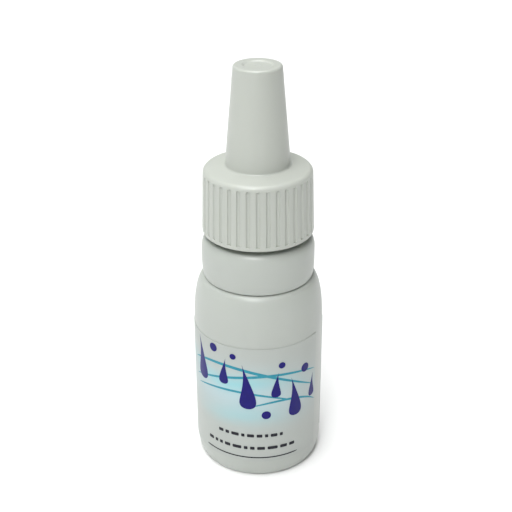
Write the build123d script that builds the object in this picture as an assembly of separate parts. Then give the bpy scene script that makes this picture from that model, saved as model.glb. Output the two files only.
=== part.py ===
from build123d import *

import os
from math import cos, radians, sin, sqrt, tan

# A small squeeze bottle for drops: a blow-moulded bottle, a dropper plug pressed into its
# neck, a ribbed screw cap with a long hollow spout over the plug's nozzle, and a thin
# wrap-round label. Millimetres, +Z up, origin at the centre of the base, front at -Y.

# Bottle body
body_diameter = 22.0
body_height = 35.1
bottle_wall = 0.8
heel_height = 3.2
heel_inset = 1.0
heel_fullness = 0.49
foot_ring_width = 2.1
base_rise = 0.8
shoulder_height = 8.4
shoulder_fullness = 0.63

# Neck
neck_diameter = 13.4
neck_bore = 10.6
neck_height = 9.3
neck_root_bevel = 0.35
rim_bevel = 0.25
throat_bevel = 0.8

# Collar between the shoulder and the neck
collar_ledge = 2.76
collar_height = 7.45
collar_swell = 0.66
collar_foot_step = 0.42
collar_foot_height = 0.25
collar_foot_rise = 2.4
collar_edge_height = 2.8
collar_edge_inset = 1.5
collar_edge_fullness = 0.56
collar_roof = 1.0

# Dropper plug
flange_inset = 0.1
flange_thickness = 0.75
flange_bevel = 0.15
skirt_length = 7.4
skirt_wall = 0.9
skirt_clearance = 0.1
skirt_lead = 0.8
skirt_lead_inset = 0.3
bead_interference = 0.06
bead_width = 0.9
bead_crest = 0.3
bead_places = (5.0, 2.2)
nozzle_base_diameter = 7.4
nozzle_tip_diameter = 3.7
nozzle_length = 15.6
nozzle_base_wall = 0.9
nozzle_tip_wall = 0.9
nozzle_tip_edge = 0.45
nozzle_root_fillet = 0.4
orifice_diameter = 1.0
orifice_length = 2.0
orifice_flare = 0.45

# Screw cap
thread_allowance = 1.0
cap_skirt_wall = 1.55
cap_draft = 1.7
cap_foot_gap = 0.57
cap_foot_edge = 0.2
cap_mouth_bevel = 0.35
cap_shoulder_fillet = 0.9
cap_top_thickness = 1.32
cap_top_slope = 0.61
cap_bore_fillet = 0.4
seat_clearance = 0.05

# Ribs round the cap
rib_count = 36
groove_depth = 0.28
groove_cutter = 0.38
groove_foot = 0.7
groove_head = 1.0

# Spout on the cap
spout_wall = 1.1
spout_base_clearance = 0.1
spout_tip_clearance = 0.92
spout_end_clearance = 1.25
spout_top_thickness = 1.42
spout_top_edge = 0.42
spout_root_fillet = 0.35
dish_diameter = 5.0
dish_depth = 0.2
pin_clearance = 0.08
pin_engagement = 1.6
pin_bevel = 0.12

# Label
label_thickness = 0.1
label_clearance = 0.01
label_margin_bottom = 0.2
label_margin_top = 0.5
label_gap_start = -29.0
label_gap_angle = 30.0

# Levels and radii that the pieces share
body_radius = body_diameter / 2
foot_radius = body_radius - heel_inset
shoulder_start = body_height - shoulder_height
neck_radius = neck_diameter / 2
bore_radius = neck_bore / 2
collar_radius = neck_radius + collar_ledge
groove_radius = collar_radius - collar_swell
collar_top = body_height + collar_height
neck_rim = collar_top + neck_height
flange_top = neck_rim + flange_thickness
nozzle_tip = flange_top + nozzle_length
seat = flange_top + seat_clearance
cap_foot = collar_top + cap_foot_gap
cap_bore = neck_radius + thread_allowance
cap_radius = cap_bore + cap_skirt_wall
cap_top_edge = seat + cap_top_thickness


def turned(outline):
    """Solid of revolution about Z from a closed outline drawn as (radius, height)."""
    return revolve(Plane.XZ * make_face(outline), Axis.Z)


def bend(start, corner, end, fullness):
    """A quarter curve from start to end inside corner. A fullness of 0.55 is an ellipse."""
    leave = tuple(s + fullness * (c - s) for s, c in zip(start, corner))
    arrive = tuple(e + fullness * (c - e) for e, c in zip(end, corner))
    return Bezier(start, leave, arrive, end)


def dome(radius, edge_height, rise):
    """Half of a shallow domed section, from its edge up to the axis."""
    sphere = (radius**2 + rise**2) / (2 * rise)
    middle = radius / 2
    middle_height = edge_height + rise - sphere + sqrt(sphere**2 - middle**2)
    return ThreePointArc((radius, edge_height), (middle, middle_height), (0, edge_height + rise))


def upright_arc(low, high):
    """An arc that swells out from low and stands upright where it reaches high."""
    out = high[0] - low[0]
    up = high[1] - low[1]
    radius = (out**2 + up**2) / (2 * out)
    middle = (high[0] - radius + sqrt(radius**2 - (up / 2) ** 2), low[1] + up / 2)
    return ThreePointArc(low, middle, high)


def rounded(points, fillets):
    """A closed outline through named points, with the fillets named there."""
    face = make_face(Polyline(*points.values(), close=True))
    for name, radius in fillets.items():
        r, z = points[name]
        corner = face.vertices().sort_by_distance((r, z, 0))[0]
        face = fillet(corner, radius)
    return face


def bottle():
    """The blow-moulded bottle: domed base, heel, shoulder, hollow collar and neck."""
    ring_inner = foot_radius - foot_ring_width
    collar_foot = (groove_radius + collar_foot_step, body_height + collar_foot_height)
    swell_end = body_height + collar_foot_height + collar_foot_rise
    edge_start = collar_top - collar_edge_height
    edge_radius = collar_radius - collar_edge_inset
    outside = [
        dome(ring_inner, 0, base_rise),
        Line((ring_inner, 0), (foot_radius, 0)),
        bend((foot_radius, 0), (body_radius, 0), (body_radius, heel_height), heel_fullness),
        Line((body_radius, heel_height), (body_radius, shoulder_start)),
        bend(
            (body_radius, shoulder_start),
            (body_radius, body_height),
            (groove_radius, body_height),
            shoulder_fullness,
        ),
        Line((groove_radius, body_height), collar_foot),
        upright_arc(collar_foot, (collar_radius, swell_end)),
        Line((collar_radius, swell_end), (collar_radius, edge_start)),
        bend(
            (collar_radius, edge_start),
            (collar_radius, collar_top),
            (edge_radius, collar_top),
            collar_edge_fullness,
        ),
    ]

    hollow_top = collar_top - collar_roof
    hollow_edge = edge_radius - bottle_wall
    neck = Polyline(
        (edge_radius, collar_top),
        (neck_radius + neck_root_bevel, collar_top),
        (neck_radius, collar_top + neck_root_bevel),
        (neck_radius, neck_rim - rim_bevel),
        (neck_radius - rim_bevel, neck_rim),
        (bore_radius, neck_rim),
        (bore_radius, hollow_top + throat_bevel),
        (bore_radius + throat_bevel, hollow_top),
        (hollow_edge, hollow_top),
    )

    inner_radius = body_radius - bottle_wall
    inner_foot = foot_radius - bottle_wall
    inner_groove = groove_radius - bottle_wall
    inner_collar = collar_radius - bottle_wall
    shoulder_end = body_height - bottle_wall
    inside = [
        bend(
            (hollow_edge, hollow_top),
            (inner_collar, hollow_top),
            (inner_collar, edge_start),
            collar_edge_fullness,
        ),
        Polyline(
            (inner_collar, edge_start),
            (inner_collar, swell_end),
            (inner_groove, body_height),
            (inner_groove, shoulder_end),
        ),
        bend(
            (inner_groove, shoulder_end),
            (inner_radius, shoulder_end),
            (inner_radius, shoulder_start),
            shoulder_fullness,
        ),
        Line((inner_radius, shoulder_start), (inner_radius, heel_height)),
        bend(
            (inner_radius, heel_height), (inner_radius, bottle_wall), (inner_foot, bottle_wall), heel_fullness
        ),
        Line((inner_foot, bottle_wall), (ring_inner, bottle_wall)),
        dome(ring_inner, bottle_wall, base_rise),
        Line((0, base_rise + bottle_wall), (0, base_rise)),
    ]
    return turned(outside + [neck] + inside)


def sealing_bead(height, skirt_radius):
    """Points of a low ring on the plug's skirt, a little larger than the neck's bore."""
    crest = bore_radius + bead_interference
    return {
        f"bead {height} foot": (skirt_radius, height - bead_width / 2),
        f"bead {height} crest foot": (crest, height - bead_crest / 2),
        f"bead {height} crest head": (crest, height + bead_crest / 2),
        f"bead {height} head": (skirt_radius, height + bead_width / 2),
    }


def dropper_plug():
    """The dropper plug: skirt with sealing beads, flange, and tapered nozzle with a fine orifice."""
    skirt_radius = bore_radius - skirt_clearance
    skirt_inner = skirt_radius - skirt_wall
    skirt_foot = neck_rim - skirt_length
    flange_radius = neck_radius - flange_inset
    base_radius = nozzle_base_diameter / 2
    tip_radius = nozzle_tip_diameter / 2
    orifice = orifice_diameter / 2
    orifice_foot = nozzle_tip - orifice_flare - orifice_length
    points = {
        "skirt foot inside": (skirt_inner, skirt_foot),
        "skirt foot outside": (skirt_radius - skirt_lead_inset, skirt_foot),
        "skirt lead": (skirt_radius, skirt_foot + skirt_lead),
    }
    for place in bead_places:
        points |= sealing_bead(neck_rim - place, skirt_radius)
    points |= {
        "skirt top": (skirt_radius, neck_rim),
        "flange foot": (flange_radius, neck_rim),
        "flange edge": (flange_radius, flange_top - flange_bevel),
        "flange top": (flange_radius - flange_bevel, flange_top),
        "nozzle root": (base_radius, flange_top),
        "nozzle edge": (tip_radius, nozzle_tip),
        "flare": (orifice + orifice_flare, nozzle_tip),
        "orifice top": (orifice, nozzle_tip - orifice_flare),
        "orifice foot": (orifice, orifice_foot),
        "passage top": (tip_radius - nozzle_tip_wall, orifice_foot - nozzle_tip_wall),
        "passage foot": (base_radius - nozzle_base_wall, flange_top),
        "skirt roof": (skirt_inner, neck_rim - skirt_wall),
    }
    fillets = {"nozzle root": nozzle_root_fillet, "nozzle edge": nozzle_tip_edge}
    return revolve(Plane.XZ * rounded(points, fillets), Axis.Z)


def cap():
    """The screw cap: ribbed skirt, sloped top, long hollow spout and a pin for the orifice."""
    top_radius = cap_radius - (cap_top_edge - cap_foot) * tan(radians(cap_draft))
    spout_base_inner = nozzle_base_diameter / 2 + nozzle_root_fillet + spout_base_clearance
    spout_tip_inner = nozzle_tip_diameter / 2 + spout_tip_clearance
    spout_inner_top = nozzle_tip + spout_end_clearance
    spout_top = spout_inner_top + spout_top_thickness
    pin_radius = orifice_diameter / 2 - pin_clearance
    pin_end = nozzle_tip - pin_engagement
    dish_radius = dish_diameter / 2
    dish_floor = spout_top - dish_depth
    points = {
        "pin end": (0, pin_end),
        "pin bevel": (pin_radius - pin_bevel, pin_end),
        "pin edge": (pin_radius, pin_end + pin_bevel),
        "pin root": (pin_radius, spout_inner_top),
        "spout roof": (spout_tip_inner, spout_inner_top),
        "spout mouth": (spout_base_inner, seat),
        "bore roof": (cap_bore, seat),
        "bore foot": (cap_bore, cap_foot + cap_mouth_bevel),
        "mouth": (cap_bore + cap_mouth_bevel, cap_foot),
        "foot edge": (cap_radius, cap_foot),
        "shoulder": (top_radius, cap_top_edge),
        "spout root": (spout_base_inner + spout_wall, cap_top_edge + cap_top_slope),
        "spout edge": (spout_tip_inner + spout_wall, spout_top),
        "dish rim": (dish_radius, spout_top),
        "dish foot": (dish_radius - 2 * dish_depth, dish_floor),
        "dish centre": (0, dish_floor),
    }
    fillets = {
        "bore roof": cap_bore_fillet,
        "foot edge": cap_foot_edge,
        "shoulder": cap_shoulder_fillet,
        "spout root": spout_root_fillet,
        "spout edge": spout_top_edge,
        "dish rim": dish_depth,
        "dish foot": dish_depth,
    }
    blank = revolve(Plane.XZ * rounded(points, fillets), Axis.Z)
    return blank - grooves()


def grooves():
    """Cutters for the shallow round-bottomed grooves that leave the cap's ribs standing."""
    slope = radians(cap_draft)
    start = cap_foot + groove_foot
    surface = cap_radius - groove_foot * tan(slope)
    length = (cap_top_edge - groove_head - start) / cos(slope)
    line = Plane(
        origin=(surface + groove_cutter - groove_depth, 0, start),
        x_dir=(cos(slope), 0, sin(slope)),
        z_dir=(-sin(slope), 0, cos(slope)),
    )
    stem = Cylinder(groove_cutter, length, align=(Align.CENTER, Align.CENTER, Align.MIN))
    head = Pos(0, 0, length) * Sphere(groove_cutter)
    cutter = line * (stem + head)
    return [Rot(0, 0, 360 * turn / rib_count) * cutter for turn in range(rib_count)]


def label():
    """The thin label, wrapped round the straight part of the body with a gap between its ends."""
    bottom = heel_height + label_margin_bottom
    height = shoulder_start - label_margin_top - bottom
    band = Rectangle(label_thickness, height, align=(Align.MIN, Align.MIN))
    section = Plane.XZ * Pos(body_radius + label_clearance, bottom) * band
    wrapped = revolve(section, Axis.Z, revolution_arc=360 - label_gap_angle)
    return Rot(0, 0, label_gap_start + label_gap_angle) * wrapped


nodes = {
    "bottle": bottle(),
    "dropper_plug": dropper_plug(),
    "cap": cap(),
    "label": label(),
}

os.makedirs("parts", exist_ok=True)
for name, solid in nodes.items():
    export_step(solid, f"parts/{name}.step")
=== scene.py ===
import random
from math import cos, hypot, pi, radians, sin, sqrt

import bmesh
import bpy
from mathutils import Matrix, Vector


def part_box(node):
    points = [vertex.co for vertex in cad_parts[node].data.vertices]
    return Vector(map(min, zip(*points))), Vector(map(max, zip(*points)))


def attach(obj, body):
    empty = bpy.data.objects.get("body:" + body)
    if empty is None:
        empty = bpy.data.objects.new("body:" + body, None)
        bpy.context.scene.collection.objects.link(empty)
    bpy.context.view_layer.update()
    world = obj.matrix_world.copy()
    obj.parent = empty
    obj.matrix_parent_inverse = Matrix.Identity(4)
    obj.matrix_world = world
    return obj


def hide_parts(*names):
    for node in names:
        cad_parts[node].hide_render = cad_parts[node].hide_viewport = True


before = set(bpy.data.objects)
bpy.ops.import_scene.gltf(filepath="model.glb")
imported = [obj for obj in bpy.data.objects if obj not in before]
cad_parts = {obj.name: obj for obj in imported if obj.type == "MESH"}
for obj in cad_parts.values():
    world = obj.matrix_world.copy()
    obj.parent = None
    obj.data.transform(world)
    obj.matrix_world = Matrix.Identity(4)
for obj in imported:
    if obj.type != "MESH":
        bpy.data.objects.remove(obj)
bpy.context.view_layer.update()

# One millimetre in the scene's metres
MM = 0.001

# Camera, at the photograph's angle
CAMERA_BACK = 152.7 * MM
CAMERA_HEIGHT = 115.0 * MM
CAMERA_PITCH = radians(26.8)
CAMERA_YAW = radians(-0.14)
CAMERA_ROLL = radians(0.23)
CAMERA_LENS = 71.5
CAMERA_SENSOR = 36.0
CAMERA_NEAREST = 0.01

# Soft studio lights: name, place in metres, width in metres and power in watts
LIGHTS = (
    ("top", (-0.30, -0.48, 1.45), 0.9, 10.8),
    ("over", (-0.05, 0.25, 1.50), 1.1, 13.4),
    ("upfront", (-0.10, -1.00, 1.20), 0.9, 0.8),
    ("sheen", (-0.14, -0.80, 1.12), 0.45, 6.2),
)
LIGHTS_AIM = (0, 0, 0.035)
ROOM_COLOUR = (0.95, 1.0, 0.97, 1)
ROOM_LEFT = 0.50
ROOM_RIGHT = 0.0

# Floor
FLOOR_REACH = 3.0
FLOOR_COLOUR = (0.88, 0.88, 0.88, 1)
FLOOR_ROUGHNESS = 0.8
FLOOR_SHEEN = 0.2
FLOOR_GLOW = 0.03

# Colours, linear
BOTTLE_LIGHT = (0.458, 0.482, 0.451)
BOTTLE_DARK = (0.445, 0.470, 0.439)
CAP_LIGHT = (0.482, 0.502, 0.462)
CAP_DARK = (0.469, 0.489, 0.448)
PLUG_LIGHT = (0.512, 0.525, 0.512)
PLUG_DARK = (0.493, 0.506, 0.493)
LABEL_WHITE = (0.442, 0.466, 0.442)
LABEL_SHADE = (0.430, 0.455, 0.430)
CYAN_WASH = (0.22, 0.60, 0.66)
BLUE_WASH = (0.46, 0.68, 0.76)
NAVY_LIGHT = (0.008, 0.004, 0.17)
NAVY_DARK = (0.007, 0.003, 0.13)
CYAN_LIGHT = (0.04, 0.31, 0.40)
CYAN_DARK = (0.03, 0.24, 0.33)
BLACK_LIGHT = (0.020, 0.020, 0.028)
BLACK_DARK = (0.012, 0.012, 0.018)

# Plastics: roughness, light scattered inside and size of the skin's grain
BOTTLE_PLASTIC = (0.34, 0.12, 0.5 * MM)
CAP_PLASTIC = (0.33, 0.06, 0.35 * MM)
PLUG_PLASTIC = (0.34, 0.3, 0.4 * MM)
PLASTIC_IOR = 1.5
PLASTIC_CLOUD = 9 * MM
PLASTIC_GLOSS_PATCH = 4 * MM
PLASTIC_GLOSS_RANGE = (-0.02, 0.03)
PLASTIC_SCATTER = 1.2 * MM
PLASTIC_SCATTER_COLOUR = (1.0, 1.0, 0.7)
GRAIN_HEIGHT = 0.006 * MM
GRAIN_STRENGTH = 0.4
SINK_SIZE = 6 * MM
SINK_STRETCH = (1, 1, 3)
SINK_HEIGHT = 0.04 * MM
SINK_STRENGTH = 0.3

# Moulding marks: half width, height and strength, and the radius of the gate's ring
PARTING_LINE = (0.07 * MM, 0.035 * MM, 0.8)
GATE_RING = (0.14 * MM, 0.05 * MM, 0.6)
GATE_RADIUS = 0.55 * MM

# Label film
FILM_CLOUD = 6 * MM
FILM_GLOSS_PATCH = 1.5 * MM
FILM_ROUGHNESS = (0.34, 0.44)
FILM_IOR = 1.48
FILM_GRAIN = 0.25 * MM
FILM_GRAIN_HEIGHT = 0.006 * MM
FILM_GRAIN_STRENGTH = 0.5
WASH_EDGE = 2.2 * MM
WASH_EDGE_STRETCH = (2.5, 2.5, 1)
WASH_EDGE_REACH = 0.6

# Inks: roughness of each, and what they share
NAVY_ROUGHNESS = 0.34
CYAN_ROUGHNESS = 0.36
BLACK_ROUGHNESS = 0.38
INK_GLOSS_RANGE = 0.05
INK_SHEEN = 0.2
INK_PATCH = 0.8 * MM
INK_GLOSS_PATCH = 0.5 * MM
INK_GRAIN = 0.2 * MM
INK_GRAIN_HEIGHT = 0.004 * MM
INK_GRAIN_STRENGTH = 0.4

# Size read from the frame
LABEL_RADIUS = -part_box("label")[0].y

# Bottle, millimetres. The collar's top edge lies 0.3 mm lower than the solid's
BODY_RADIUS = 11.0
BODY_HEIGHT = 35.1
WALL = 0.8
FOOT_RADIUS = 10.0
FOOT_INNER = 7.9
BASE_RISE = 0.8
HEEL_HEIGHT = 3.2
HEEL_FULLNESS = 0.49
SHOULDER_START = 26.7
SHOULDER_FULLNESS = 0.63
GROOVE_RADIUS = 8.8
COLLAR_RADIUS = 9.46
COLLAR_FOOT = (9.22, 35.35)
COLLAR_SWELL_END = 37.75
COLLAR_EDGE_START = 40.05
COLLAR_EDGE_RADIUS = 8.1
COLLAR_TOP = 42.25
COLLAR_ROOF = 1.0
COLLAR_FULLNESS = 0.56
NECK_RADIUS = 6.7
NECK_BORE = 5.3
NECK_RIM = 51.85
NECK_BEVEL = 0.3
LATHE_STEPS = 160
LATHE_SHARP = radians(25)
PIECE_SHARP = radians(50)
SHOULDER_STEPS = 40

# Screw threads, millimetres: root and crest radius, start height and turns
THREAD_PITCH = 3.0
THREAD_TAPER = 0.16
THREAD_STEPS = 96
THREAD_LEAST = 0.06
THREAD_LEAST_WIDTH = 0.4
NECK_THREAD = (6.65, 7.45, 45.1, 1.5)
CAP_THREAD = (7.75, 6.95, 44.7, 1.15)
THREAD_PROFILE = (
    (0.0, -0.66), (0.5, -0.46), (0.86, -0.31), (1.0, -0.14),
    (1.0, 0.14), (0.86, 0.31), (0.5, 0.46), (0.0, 0.66),
)

# Print: how far each ink stands out of the label, and how deep it is rooted in it
INK_ROOT = 0.02
CYAN_STAND = 0.012
NAVY_STAND = 0.024
SMALL_STAND = 0.018
LEAST_WIDTH = 0.03
DROP_ROWS = 28
SPOT_ROWS = 20
DASH_STEPS = 12
LONG_ROWS = 60
SPOT_TILT = 0.1

# Falling drops: foot across, foot height, length, width, lean and bow, in millimetres of the flat label
DROPS = (
    (-11.2, 17.6, 8.0, 3.1, -1.0, 0.6),
    (-6.2, 18.6, 5.0, 2.1, 0.4, -0.3),
    (-1.9, 14.4, 8.6, 3.4, -0.9, 0.7),
    (3.0, 16.6, 4.8, 2.0, 0.4, -0.3),
    (6.6, 12.0, 7.8, 3.0, -0.8, 0.6),
    (10.6, 14.2, 4.4, 1.8, 0.3, -0.3),
)
# Round spatters between the drops: across, height and width
SPATTERS = ((-8.3, 25.0, 1.6), (-4.4, 24.4, 1.1), (1.3, 13.2, 1.6), (4.0, 22.8, 1.2), (8.7, 20.8, 1.7))
# Ripples behind the drops: start, bend, end and width
RIPPLES = (
    ((-14.0, 20.6), (-4.0, 25.6), (11.0, 16.4), 0.56),
    ((-13.6, 17.4), (1.0, 23.4), (11.4, 19.4), 0.50),
    ((-12.8, 16.0), (-3.0, 19.6), (6.4, 15.2), 0.42),
    ((-2.0, 14.6), (6.0, 17.6), (11.6, 13.0), 0.42),
)
# Rows of dashes: start, end, height and thickness
DASH_ROWS = ((-7.4, 4.4, 8.9, 0.62), (-9.8, 6.6, 6.3, 0.62))
DASH_LENGTHS = (0.5, 1.9)
DASH_GAP = 0.42
DASH_SEED = 7
# Thin rule under the dashes: start, end, height and thickness
RULE = (-10.4, 7.2, 4.3, 0.24)

# Washes on the label: height, slope and waves in millimetres of the flat label
WASHES = (
    dict(height=16.6, slope=-0.10, bend=0.15, phase=0.4, swing=0.6, width=4.6, centre=-3, reach=13,
         strength=0.55, colour=BLUE_WASH),
    dict(height=19.2, slope=-0.12, bend=0.26, phase=0.4, swing=1.0, width=1.5, centre=-4, reach=9,
         strength=0.62, colour=CYAN_WASH),
    dict(height=12.6, slope=0.02, bend=0.30, phase=2.0, swing=0.5, width=1.8, centre=-3, reach=7,
         strength=0.35, colour=CYAN_WASH),
)


# Nodes of a material, with short helpers for the ones used often

class Shader:
    """A material's node tree with one Principled shader."""

    def __init__(self, name):
        self.material = bpy.data.materials.new(name)
        self.material.use_nodes = True
        self.tree = self.material.node_tree
        self.shader = self.tree.nodes["Principled BSDF"]
        place = self.tree.nodes.new("ShaderNodeTexCoord")
        self.place = place.outputs["Object"]

    def put(self, value, socket):
        if isinstance(value, bpy.types.NodeSocket):
            self.tree.links.new(value, socket)
        else:
            socket.default_value = value

    def set(self, **sockets):
        for name, value in sockets.items():
            self.put(value, self.shader.inputs[name.replace("_", " ")])

    def axes(self):
        node = self.tree.nodes.new("ShaderNodeSeparateXYZ")
        self.put(self.place, node.inputs[0])
        return node.outputs

    def math(self, operation, *values):
        node = self.tree.nodes.new("ShaderNodeMath")
        node.operation = operation
        for value, socket in zip(values, node.inputs):
            self.put(value, socket)
        return node.outputs[0]

    def bell(self, value, width):
        """One at zero, falling away softly on both sides over a width."""
        scaled = self.math("MULTIPLY", value, 1 / width)
        square = self.math("MULTIPLY", scaled, scaled)
        return self.math("EXPONENT", self.math("MULTIPLY", square, -1.0))

    def noise(self, size, detail, stretch=(1, 1, 1)):
        """Noise with features of about size metres, drawn out along an axis by stretch."""
        mapping = self.tree.nodes.new("ShaderNodeMapping")
        mapping.inputs["Scale"].default_value = [1 / s for s in stretch]
        self.put(self.place, mapping.inputs["Vector"])
        node = self.tree.nodes.new("ShaderNodeTexNoise")
        node.inputs["Scale"].default_value = 1 / size
        node.inputs["Detail"].default_value = detail
        self.put(mapping.outputs[0], node.inputs["Vector"])
        return node.outputs[0]

    def spread(self, value, low, high):
        """A noise value laid over low to high."""
        node = self.tree.nodes.new("ShaderNodeMapRange")
        node.inputs["From Min"].default_value = 0.2
        node.inputs["From Max"].default_value = 0.8
        node.inputs["To Min"].default_value = low
        node.inputs["To Max"].default_value = high
        self.put(value, node.inputs["Value"])
        return node.outputs[0]

    def mix(self, factor, first, second):
        node = self.tree.nodes.new("ShaderNodeMix")
        node.data_type = "RGBA"
        self.put(factor, node.inputs[0])
        self.put(first, node.inputs[6])
        self.put(second, node.inputs[7])
        return node.outputs[2]

    def bump(self, height, distance, strength, normal=None):
        node = self.tree.nodes.new("ShaderNodeBump")
        node.inputs["Strength"].default_value = strength
        node.inputs["Distance"].default_value = distance
        self.put(height, node.inputs["Height"])
        if normal is not None:
            self.put(normal, node.inputs["Normal"])
        return node.outputs[0]


def moulded_plastic(name, light, dark, finish):
    """White moulded plastic: faint cloudiness, uneven gloss, a fine moulded skin and soft sink marks."""
    roughness, scattered, grain = finish
    low, high = (roughness + change for change in PLASTIC_GLOSS_RANGE)
    m = Shader(name)
    m.set(
        Base_Color=m.mix(m.noise(PLASTIC_CLOUD, 2), (*dark, 1), (*light, 1)),
        Roughness=m.spread(m.noise(PLASTIC_GLOSS_PATCH, 2), low, high),
        IOR=PLASTIC_IOR,
        Subsurface_Weight=scattered,
        Subsurface_Scale=PLASTIC_SCATTER,
        Subsurface_Radius=PLASTIC_SCATTER_COLOUR,
    )
    skin = m.bump(m.noise(grain, 2), GRAIN_HEIGHT, GRAIN_STRENGTH)
    m.skin = m.bump(m.noise(SINK_SIZE, 1, SINK_STRETCH), SINK_HEIGHT, SINK_STRENGTH, skin)
    m.set(Normal=m.skin)
    return m


def bottle_plastic():
    """Blow-moulded plastic with the fine line where the mould's halves met, across the base too."""
    m = moulded_plastic("bottle_plastic", BOTTLE_LIGHT, BOTTLE_DARK, BOTTLE_PLASTIC)
    width, height, strength = PARTING_LINE
    m.set(Normal=m.bump(m.bell(m.axes()[1], width), height, strength, m.skin))
    return m.material


def cap_plastic():
    """Injection-moulded plastic with the small mark of the gate in the middle of the spout's end."""
    m = moulded_plastic("cap_plastic", CAP_LIGHT, CAP_DARK, CAP_PLASTIC)
    width, height, strength = GATE_RING
    x, y = m.axes()[:2]
    reach = m.math("SQRT", m.math("ADD", m.math("MULTIPLY", x, x), m.math("MULTIPLY", y, y)))
    ring = m.math("SUBTRACT", reach, GATE_RADIUS)
    m.set(Normal=m.bump(m.bell(ring, width), height, strength, m.skin))
    return m.material


def label_film():
    """White coated label with soft watery washes under the print."""
    m = Shader("label_film")
    x, y, z = m.axes()
    turn = m.math("ARCTAN2", x, m.math("MULTIPLY", y, -1.0))
    across = m.math("MULTIPLY", turn, LABEL_RADIUS / MM)
    height = m.math("MULTIPLY", z, 1 / MM)
    colour = m.mix(m.noise(FILM_CLOUD, 3), (*LABEL_WHITE, 1), (*LABEL_SHADE, 1))
    edge = m.noise(WASH_EDGE, 4, WASH_EDGE_STRETCH)
    ragged = m.spread(edge, -WASH_EDGE_REACH, WASH_EDGE_REACH)
    for wash in WASHES:
        wave = m.math("SINE", m.math("MULTIPLY_ADD", across, wash["bend"], wash["phase"]))
        line = m.math("MULTIPLY_ADD", across, wash["slope"], wash["height"])
        line = m.math("MULTIPLY_ADD", wave, wash["swing"], line)
        off = m.math("ADD", m.math("SUBTRACT", height, line), ragged)
        level = m.bell(off, wash["width"])
        side = m.bell(m.math("SUBTRACT", across, wash["centre"]), wash["reach"])
        soft = m.math("MULTIPLY", m.math("MULTIPLY", level, side), wash["strength"])
        colour = m.mix(soft, colour, (*wash["colour"], 1))
    m.set(
        Base_Color=colour,
        Roughness=m.spread(m.noise(FILM_GLOSS_PATCH, 4), *FILM_ROUGHNESS),
        IOR=FILM_IOR,
        Normal=m.bump(m.noise(FILM_GRAIN, 4), FILM_GRAIN_HEIGHT, FILM_GRAIN_STRENGTH),
    )
    return m.material


def printed_ink(name, light, dark, roughness):
    """Print on the label: uneven ink with a slightly different gloss from the film."""
    m = Shader(name)
    low = roughness - INK_GLOSS_RANGE
    high = roughness + INK_GLOSS_RANGE
    m.set(
        Base_Color=m.mix(m.spread(m.noise(INK_PATCH, 4), 0, 1), (*dark, 1), (*light, 1)),
        Roughness=m.spread(m.noise(INK_GLOSS_PATCH, 3), low, high),
        Specular_IOR_Level=INK_SHEEN,
        Normal=m.bump(m.noise(INK_GRAIN, 3), INK_GRAIN_HEIGHT, INK_GRAIN_STRENGTH),
    )
    return m.material


def piece(name, verts, faces, material, body, sharp=PIECE_SHARP):
    """A new visible piece that rides on a body, smooth but for edges sharper than an angle."""
    mesh = bpy.data.meshes.new(name)
    mesh.from_pydata(verts, [], faces)
    turner = bmesh.new()
    turner.from_mesh(mesh)
    bmesh.ops.recalc_face_normals(turner, faces=turner.faces)
    turner.to_mesh(mesh)
    turner.free()
    for face in mesh.polygons:
        face.use_smooth = True
    mesh.set_sharp_from_angle(angle=sharp)
    mesh.materials.append(material)
    obj = bpy.data.objects.new(name, mesh)
    bpy.context.scene.collection.objects.link(obj)
    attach(obj, body)
    return obj


def bend(start, corner, end, fullness, steps=16):
    """Points of a quarter curve from start to end inside corner."""
    leave = [a + fullness * (b - a) for a, b in zip(start, corner)]
    arrive = [a + fullness * (b - a) for a, b in zip(end, corner)]
    guides = (start, leave, arrive, end)
    points = []
    for step in range(steps + 1):
        t = step / steps
        shares = ((1 - t) ** 3, 3 * t * (1 - t) ** 2, 3 * t * t * (1 - t), t ** 3)
        points.append([sum(s * guide[axis] for s, guide in zip(shares, guides)) for axis in (0, 1)])
    return points


def swell(low, high, steps=8):
    """Points of an arc that swells out from low and stands upright at high."""
    out = high[0] - low[0]
    up = high[1] - low[1]
    radius = (out * out + up * up) / (2 * out)
    heights = [up * step / steps for step in range(steps + 1)]
    return [(high[0] - radius + sqrt(radius ** 2 - (up - h) ** 2), low[1] + h) for h in heights]


def dome(radius, edge, rise, steps=14):
    """Points of a shallow dome from the axis out to its edge."""
    return [(radius * k / steps, edge + rise * (1 - (k / steps) ** 2)) for k in range(steps + 1)]


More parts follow.
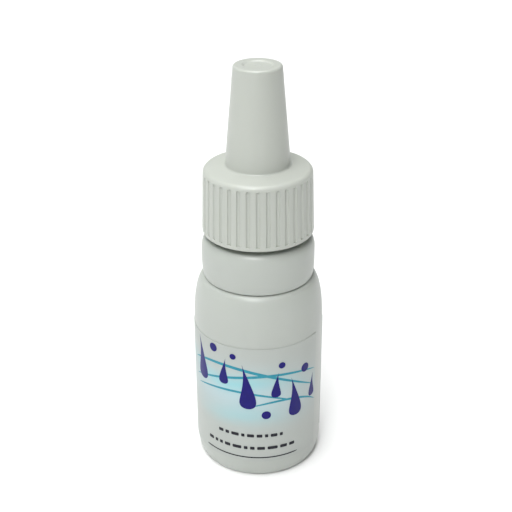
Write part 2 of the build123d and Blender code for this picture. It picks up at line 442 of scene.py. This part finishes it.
def bottle_outline():
    """The bottle's closed section as (radius, height): outside from the base up, then inside down."""
    inner = BODY_RADIUS - WALL
    collar_inner = COLLAR_RADIUS - WALL
    edge_inner = COLLAR_EDGE_RADIUS - WALL
    groove_inner = GROOVE_RADIUS - WALL
    roof = COLLAR_TOP - COLLAR_ROOF
    outside = dome(FOOT_INNER, 0, BASE_RISE)
    outside += bend((FOOT_RADIUS, 0), (BODY_RADIUS, 0), (BODY_RADIUS, HEEL_HEIGHT), HEEL_FULLNESS)
    start = (BODY_RADIUS, SHOULDER_START)
    end = (GROOVE_RADIUS, BODY_HEIGHT)
    outside += bend(start, (BODY_RADIUS, BODY_HEIGHT), end, SHOULDER_FULLNESS, SHOULDER_STEPS)
    outside += swell(COLLAR_FOOT, (COLLAR_RADIUS, COLLAR_SWELL_END))
    start = (COLLAR_RADIUS, COLLAR_EDGE_START)
    end = (COLLAR_EDGE_RADIUS, COLLAR_TOP)
    outside += bend(start, (COLLAR_RADIUS, COLLAR_TOP), end, COLLAR_FULLNESS)
    outside += [(NECK_RADIUS + NECK_BEVEL, COLLAR_TOP), (NECK_RADIUS, COLLAR_TOP + NECK_BEVEL)]
    outside += [(NECK_RADIUS, NECK_RIM - NECK_BEVEL), (NECK_RADIUS - NECK_BEVEL, NECK_RIM)]
    inside = [(NECK_BORE, NECK_RIM), (NECK_BORE, roof + WALL), (NECK_BORE + WALL, roof)]
    end = (collar_inner, COLLAR_EDGE_START)
    inside += bend((edge_inner, roof), (collar_inner, roof), end, COLLAR_FULLNESS)
    inside += [(collar_inner, COLLAR_SWELL_END), (groove_inner, BODY_HEIGHT)]
    top = BODY_HEIGHT - WALL
    inside += bend((groove_inner, top), (inner, top), (inner, SHOULDER_START), SHOULDER_FULLNESS)
    inside += bend((inner, HEEL_HEIGHT), (inner, WALL), (FOOT_RADIUS - WALL, WALL), HEEL_FULLNESS)
    inside += reversed(dome(FOOT_INNER, WALL, BASE_RISE))
    return outside + inside


def turned(name, outline, material, body):
    """A closed shell turned about Z from an outline that starts and ends on the axis."""
    verts = [(0, 0, outline[0][1] * MM), (0, 0, outline[-1][1] * MM)]
    rings = outline[1:-1]
    for radius, height in rings:
        for step in range(LATHE_STEPS):
            angle = 2 * pi * step / LATHE_STEPS
            verts.append((radius * cos(angle) * MM, radius * sin(angle) * MM, height * MM))
    last = 2 + (len(rings) - 1) * LATHE_STEPS
    faces = []
    for step in range(LATHE_STEPS):
        beside = (step + 1) % LATHE_STEPS
        faces.append((0, 2 + beside, 2 + step))
        faces.append((1, last + step, last + beside))
        for ring in range(2, last, LATHE_STEPS):
            above = ring + LATHE_STEPS
            faces.append((ring + step, ring + beside, above + beside, above + step))
    return piece(name, verts, faces, material, body, LATHE_SHARP)


def thread(name, sizes, material, body):
    """A right-handed screw thread that runs in and out softly at its ends."""
    root, crest, start, turns = sizes
    verts = []
    rows = round(turns * THREAD_STEPS)
    for row in range(rows + 1):
        turn = row / THREAD_STEPS
        angle = 2 * pi * turn
        near = min(1.0, turn / THREAD_TAPER, (turns - turn) / THREAD_TAPER)
        share = max(sin(near * pi / 2), THREAD_LEAST)
        spread = THREAD_LEAST_WIDTH + (1 - THREAD_LEAST_WIDTH) * share
        for out, up in THREAD_PROFILE:
            radius = root + (crest - root) * out * share
            height = start + THREAD_PITCH * turn + up * spread
            verts.append((radius * cos(angle) * MM, radius * sin(angle) * MM, height * MM))
    width = len(THREAD_PROFILE)
    faces = [tuple(range(width)), tuple(range(rows * width, (rows + 1) * width))]
    for row in range(rows):
        for column in range(width):
            here = row * width + column
            beside = row * width + (column + 1) % width
            faces.append((here, beside, beside + width, here + width))
    return piece(name, verts, faces, material, body)


# Strokes of the print: each shape gives the place along the stroke and the share of its full width

def drop(u):
    """Pointed at its start and round at its end."""
    t = sin(u * pi / 2)
    return t, 1.25 * t ** 1.4 * sqrt(1 - t ** 8)


def round_spot(u):
    """Round all about."""
    t = (1 - cos(u * pi)) / 2
    return t, 2 * sqrt(t * (1 - t))


def ripple(u):
    """Full in the middle and pointed at both ends."""
    t = (1 - cos(u * pi)) / 2
    return t, sin(pi * t) ** 0.5


def bar(u):
    """Even in width, with rounded ends."""
    t = (1 - cos(u * pi)) / 2
    return t, min(1.0, 5 * sqrt(t * (1 - t)))


def stroke(shape, start, middle, end, width, rows):
    """Rows of places across a curved stroke, in millimetres of the flat label."""
    guides = list(zip(start, middle, end))
    grid = []
    for row in range(rows + 1):
        t, share = shape(row / rows)
        across, height = [(1 - t) ** 2 * a + 2 * t * (1 - t) * b + t * t * c for a, b, c in guides]
        run = [(1 - t) * (b - a) + t * (c - b) for a, b, c in guides]
        half = max(width * share, LEAST_WIDTH) / 2 / hypot(*run)
        offsets = [half * k for k in (-1, -0.5, 0, 0.5, 1)]
        grid.append([(across - run[1] * off, height + run[0] * off) for off in offsets])
    return grid


def printed(name, strokes, stand, material):
    """Thin closed layers of ink, one for each stroke, laid round the label."""
    verts = []
    faces = []
    for grid in strokes:
        base = len(verts)
        rows = len(grid)
        columns = len(grid[0])
        count = rows * columns
        for lift in (stand, -INK_ROOT):
            radius = LABEL_RADIUS + lift * MM
            for across, height in (place for row in grid for place in row):
                turn = across * MM / LABEL_RADIUS
                verts.append((radius * sin(turn), -radius * cos(turn), height * MM))
        for row in range(rows - 1):
            for column in range(columns - 1):
                here = base + row * columns + column
                quad = (here, here + 1, here + columns + 1, here + columns)
                faces.append(quad)
                faces.append(tuple(corner + count for corner in reversed(quad)))
        rim = list(range(columns))
        rim += [row * columns + columns - 1 for row in range(1, rows)]
        rim += [count - 1 - column for column in range(1, columns)]
        rim += [row * columns for row in range(rows - 2, 0, -1)]
        for here, beside in zip(rim, rim[1:] + rim[:1]):
            faces.append((base + here, base + beside, base + beside + count, base + here + count))
    return piece(name, verts, faces, material, "bottle")


def label_print():
    """Drops, spatters, ripples, rows of dashes and a rule."""
    navy = printed_ink("navy_ink", NAVY_LIGHT, NAVY_DARK, NAVY_ROUGHNESS)
    cyan = printed_ink("cyan_ink", CYAN_LIGHT, CYAN_DARK, CYAN_ROUGHNESS)
    black = printed_ink("black_ink", BLACK_LIGHT, BLACK_DARK, BLACK_ROUGHNESS)
    drops = []
    for across, height, length, width, lean, bow in DROPS:
        tip = (across + lean, height + length)
        middle = (across + lean / 2 + bow, height + length / 2)
        drops.append(stroke(drop, tip, middle, (across, height), width, DROP_ROWS))
    printed("print_drops", drops, NAVY_STAND, navy)
    spots = []
    for across, height, width in SPATTERS:
        left = (across - width / 2, height - SPOT_TILT)
        right = (across + width / 2, height + SPOT_TILT)
        spots.append(stroke(round_spot, left, (across, height), right, width, SPOT_ROWS))
    printed("print_spatters", spots, NAVY_STAND, navy)
    ripples = [stroke(ripple, *line, LONG_ROWS) for line in RIPPLES]
    printed("print_ripples", ripples, CYAN_STAND, cyan)
    draw = random.Random(DASH_SEED)
    dashes = []
    for across, end, height, width in DASH_ROWS:
        while across < end:
            length = draw.uniform(*DASH_LENGTHS)
            middle = (across + length / 2, height)
            right = (across + length, height)
            dashes.append(stroke(bar, (across, height), middle, right, width, DASH_STEPS))
            across += length + DASH_GAP
    printed("print_dashes", dashes, SMALL_STAND, black)
    start, end, height, width = RULE
    middle = ((start + end) / 2, height)
    rule = stroke(bar, (start, height), middle, (end, height), width, LONG_ROWS)
    printed("print_rule", [rule], SMALL_STAND, black)


def camera():
    """The camera stands where the photographer's stood."""
    data = bpy.data.cameras.new("camera")
    data.lens = CAMERA_LENS
    data.sensor_width = CAMERA_SENSOR
    data.clip_start = CAMERA_NEAREST
    eye = bpy.data.objects.new("camera", data)
    bpy.context.scene.collection.objects.link(eye)
    level = Vector((cos(CAMERA_YAW), -sin(CAMERA_YAW), 0))
    ahead = Vector((sin(CAMERA_YAW), cos(CAMERA_YAW), 0))
    forward = ahead * cos(CAMERA_PITCH) - Vector((0, 0, sin(CAMERA_PITCH)))
    down = forward.cross(level)
    right = level * cos(CAMERA_ROLL) + down * sin(CAMERA_ROLL)
    up = level * sin(CAMERA_ROLL) - down * cos(CAMERA_ROLL)
    turn = Matrix((right, up, -forward)).transposed().to_4x4()
    eye.matrix_world = Matrix.Translation((0, -CAMERA_BACK, CAMERA_HEIGHT)) @ turn
    bpy.context.scene.camera = eye


def floor():
    """A wide white floor for the background."""
    mesh = bpy.data.meshes.new("floor")
    far = FLOOR_REACH
    mesh.from_pydata([(-far, -far, 0), (far, -far, 0), (far, far, 0), (-far, far, 0)], [], [(0, 1, 2, 3)])
    obj = bpy.data.objects.new("floor", mesh)
    bpy.context.scene.collection.objects.link(obj)
    m = Shader("floor")
    m.set(Base_Color=FLOOR_COLOUR, Roughness=FLOOR_ROUGHNESS, Specular_IOR_Level=FLOOR_SHEEN)
    m.set(Emission_Color=(1, 1, 1, 1), Emission_Strength=FLOOR_GLOW)
    mesh.materials.append(m.material)


def lights():
    """The studio lights and a room that is lighter on the left."""
    for name, place, width, power in LIGHTS:
        data = bpy.data.lights.new(name, "AREA")
        data.shape = "DISK"
        data.size = width
        data.energy = power
        obj = bpy.data.objects.new(name, data)
        bpy.context.scene.collection.objects.link(obj)
        obj.location = place
        aim = Vector(LIGHTS_AIM) - Vector(place)
        obj.rotation_euler = aim.to_track_quat("-Z", "Y").to_euler()
    world = bpy.data.worlds.new("studio")
    world.use_nodes = True
    tree = world.node_tree
    place = tree.nodes.new("ShaderNodeTexCoord")
    split = tree.nodes.new("ShaderNodeSeparateXYZ")
    dim = tree.nodes.new("ShaderNodeMapRange")
    dim.inputs["From Min"].default_value = -1
    dim.inputs["To Min"].default_value = ROOM_LEFT
    dim.inputs["To Max"].default_value = ROOM_RIGHT
    tree.links.new(place.outputs["Generated"], split.inputs[0])
    tree.links.new(split.outputs[0], dim.inputs["Value"])
    tree.links.new(dim.outputs[0], tree.nodes["Background"].inputs["Strength"])
    tree.nodes["Background"].inputs["Color"].default_value = ROOM_COLOUR
    bpy.context.scene.world = world


def finish_nodes(materials):
    """Gives each solid its material."""
    for name, material in materials.items():
        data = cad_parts[name].data
        data.materials.clear()
        data.materials.append(material)


bpy.context.scene.view_settings.view_transform = "Standard"
camera()
floor()
lights()
bottle_finish = bottle_plastic()
cap_finish = cap_plastic()
plug_finish = moulded_plastic("plug_plastic", PLUG_LIGHT, PLUG_DARK, PLUG_PLASTIC).material
finish_nodes({
    "bottle": bottle_finish,
    "cap": cap_finish,
    "dropper_plug": plug_finish,
    "label": label_film(),
})
bottle_shell = turned("bottle_shell", bottle_outline(), bottle_finish, "bottle")
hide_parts("bottle")
thread("neck_thread", NECK_THREAD, bottle_finish, "bottle")
thread("cap_thread", CAP_THREAD, cap_finish, "cap")
label_print()
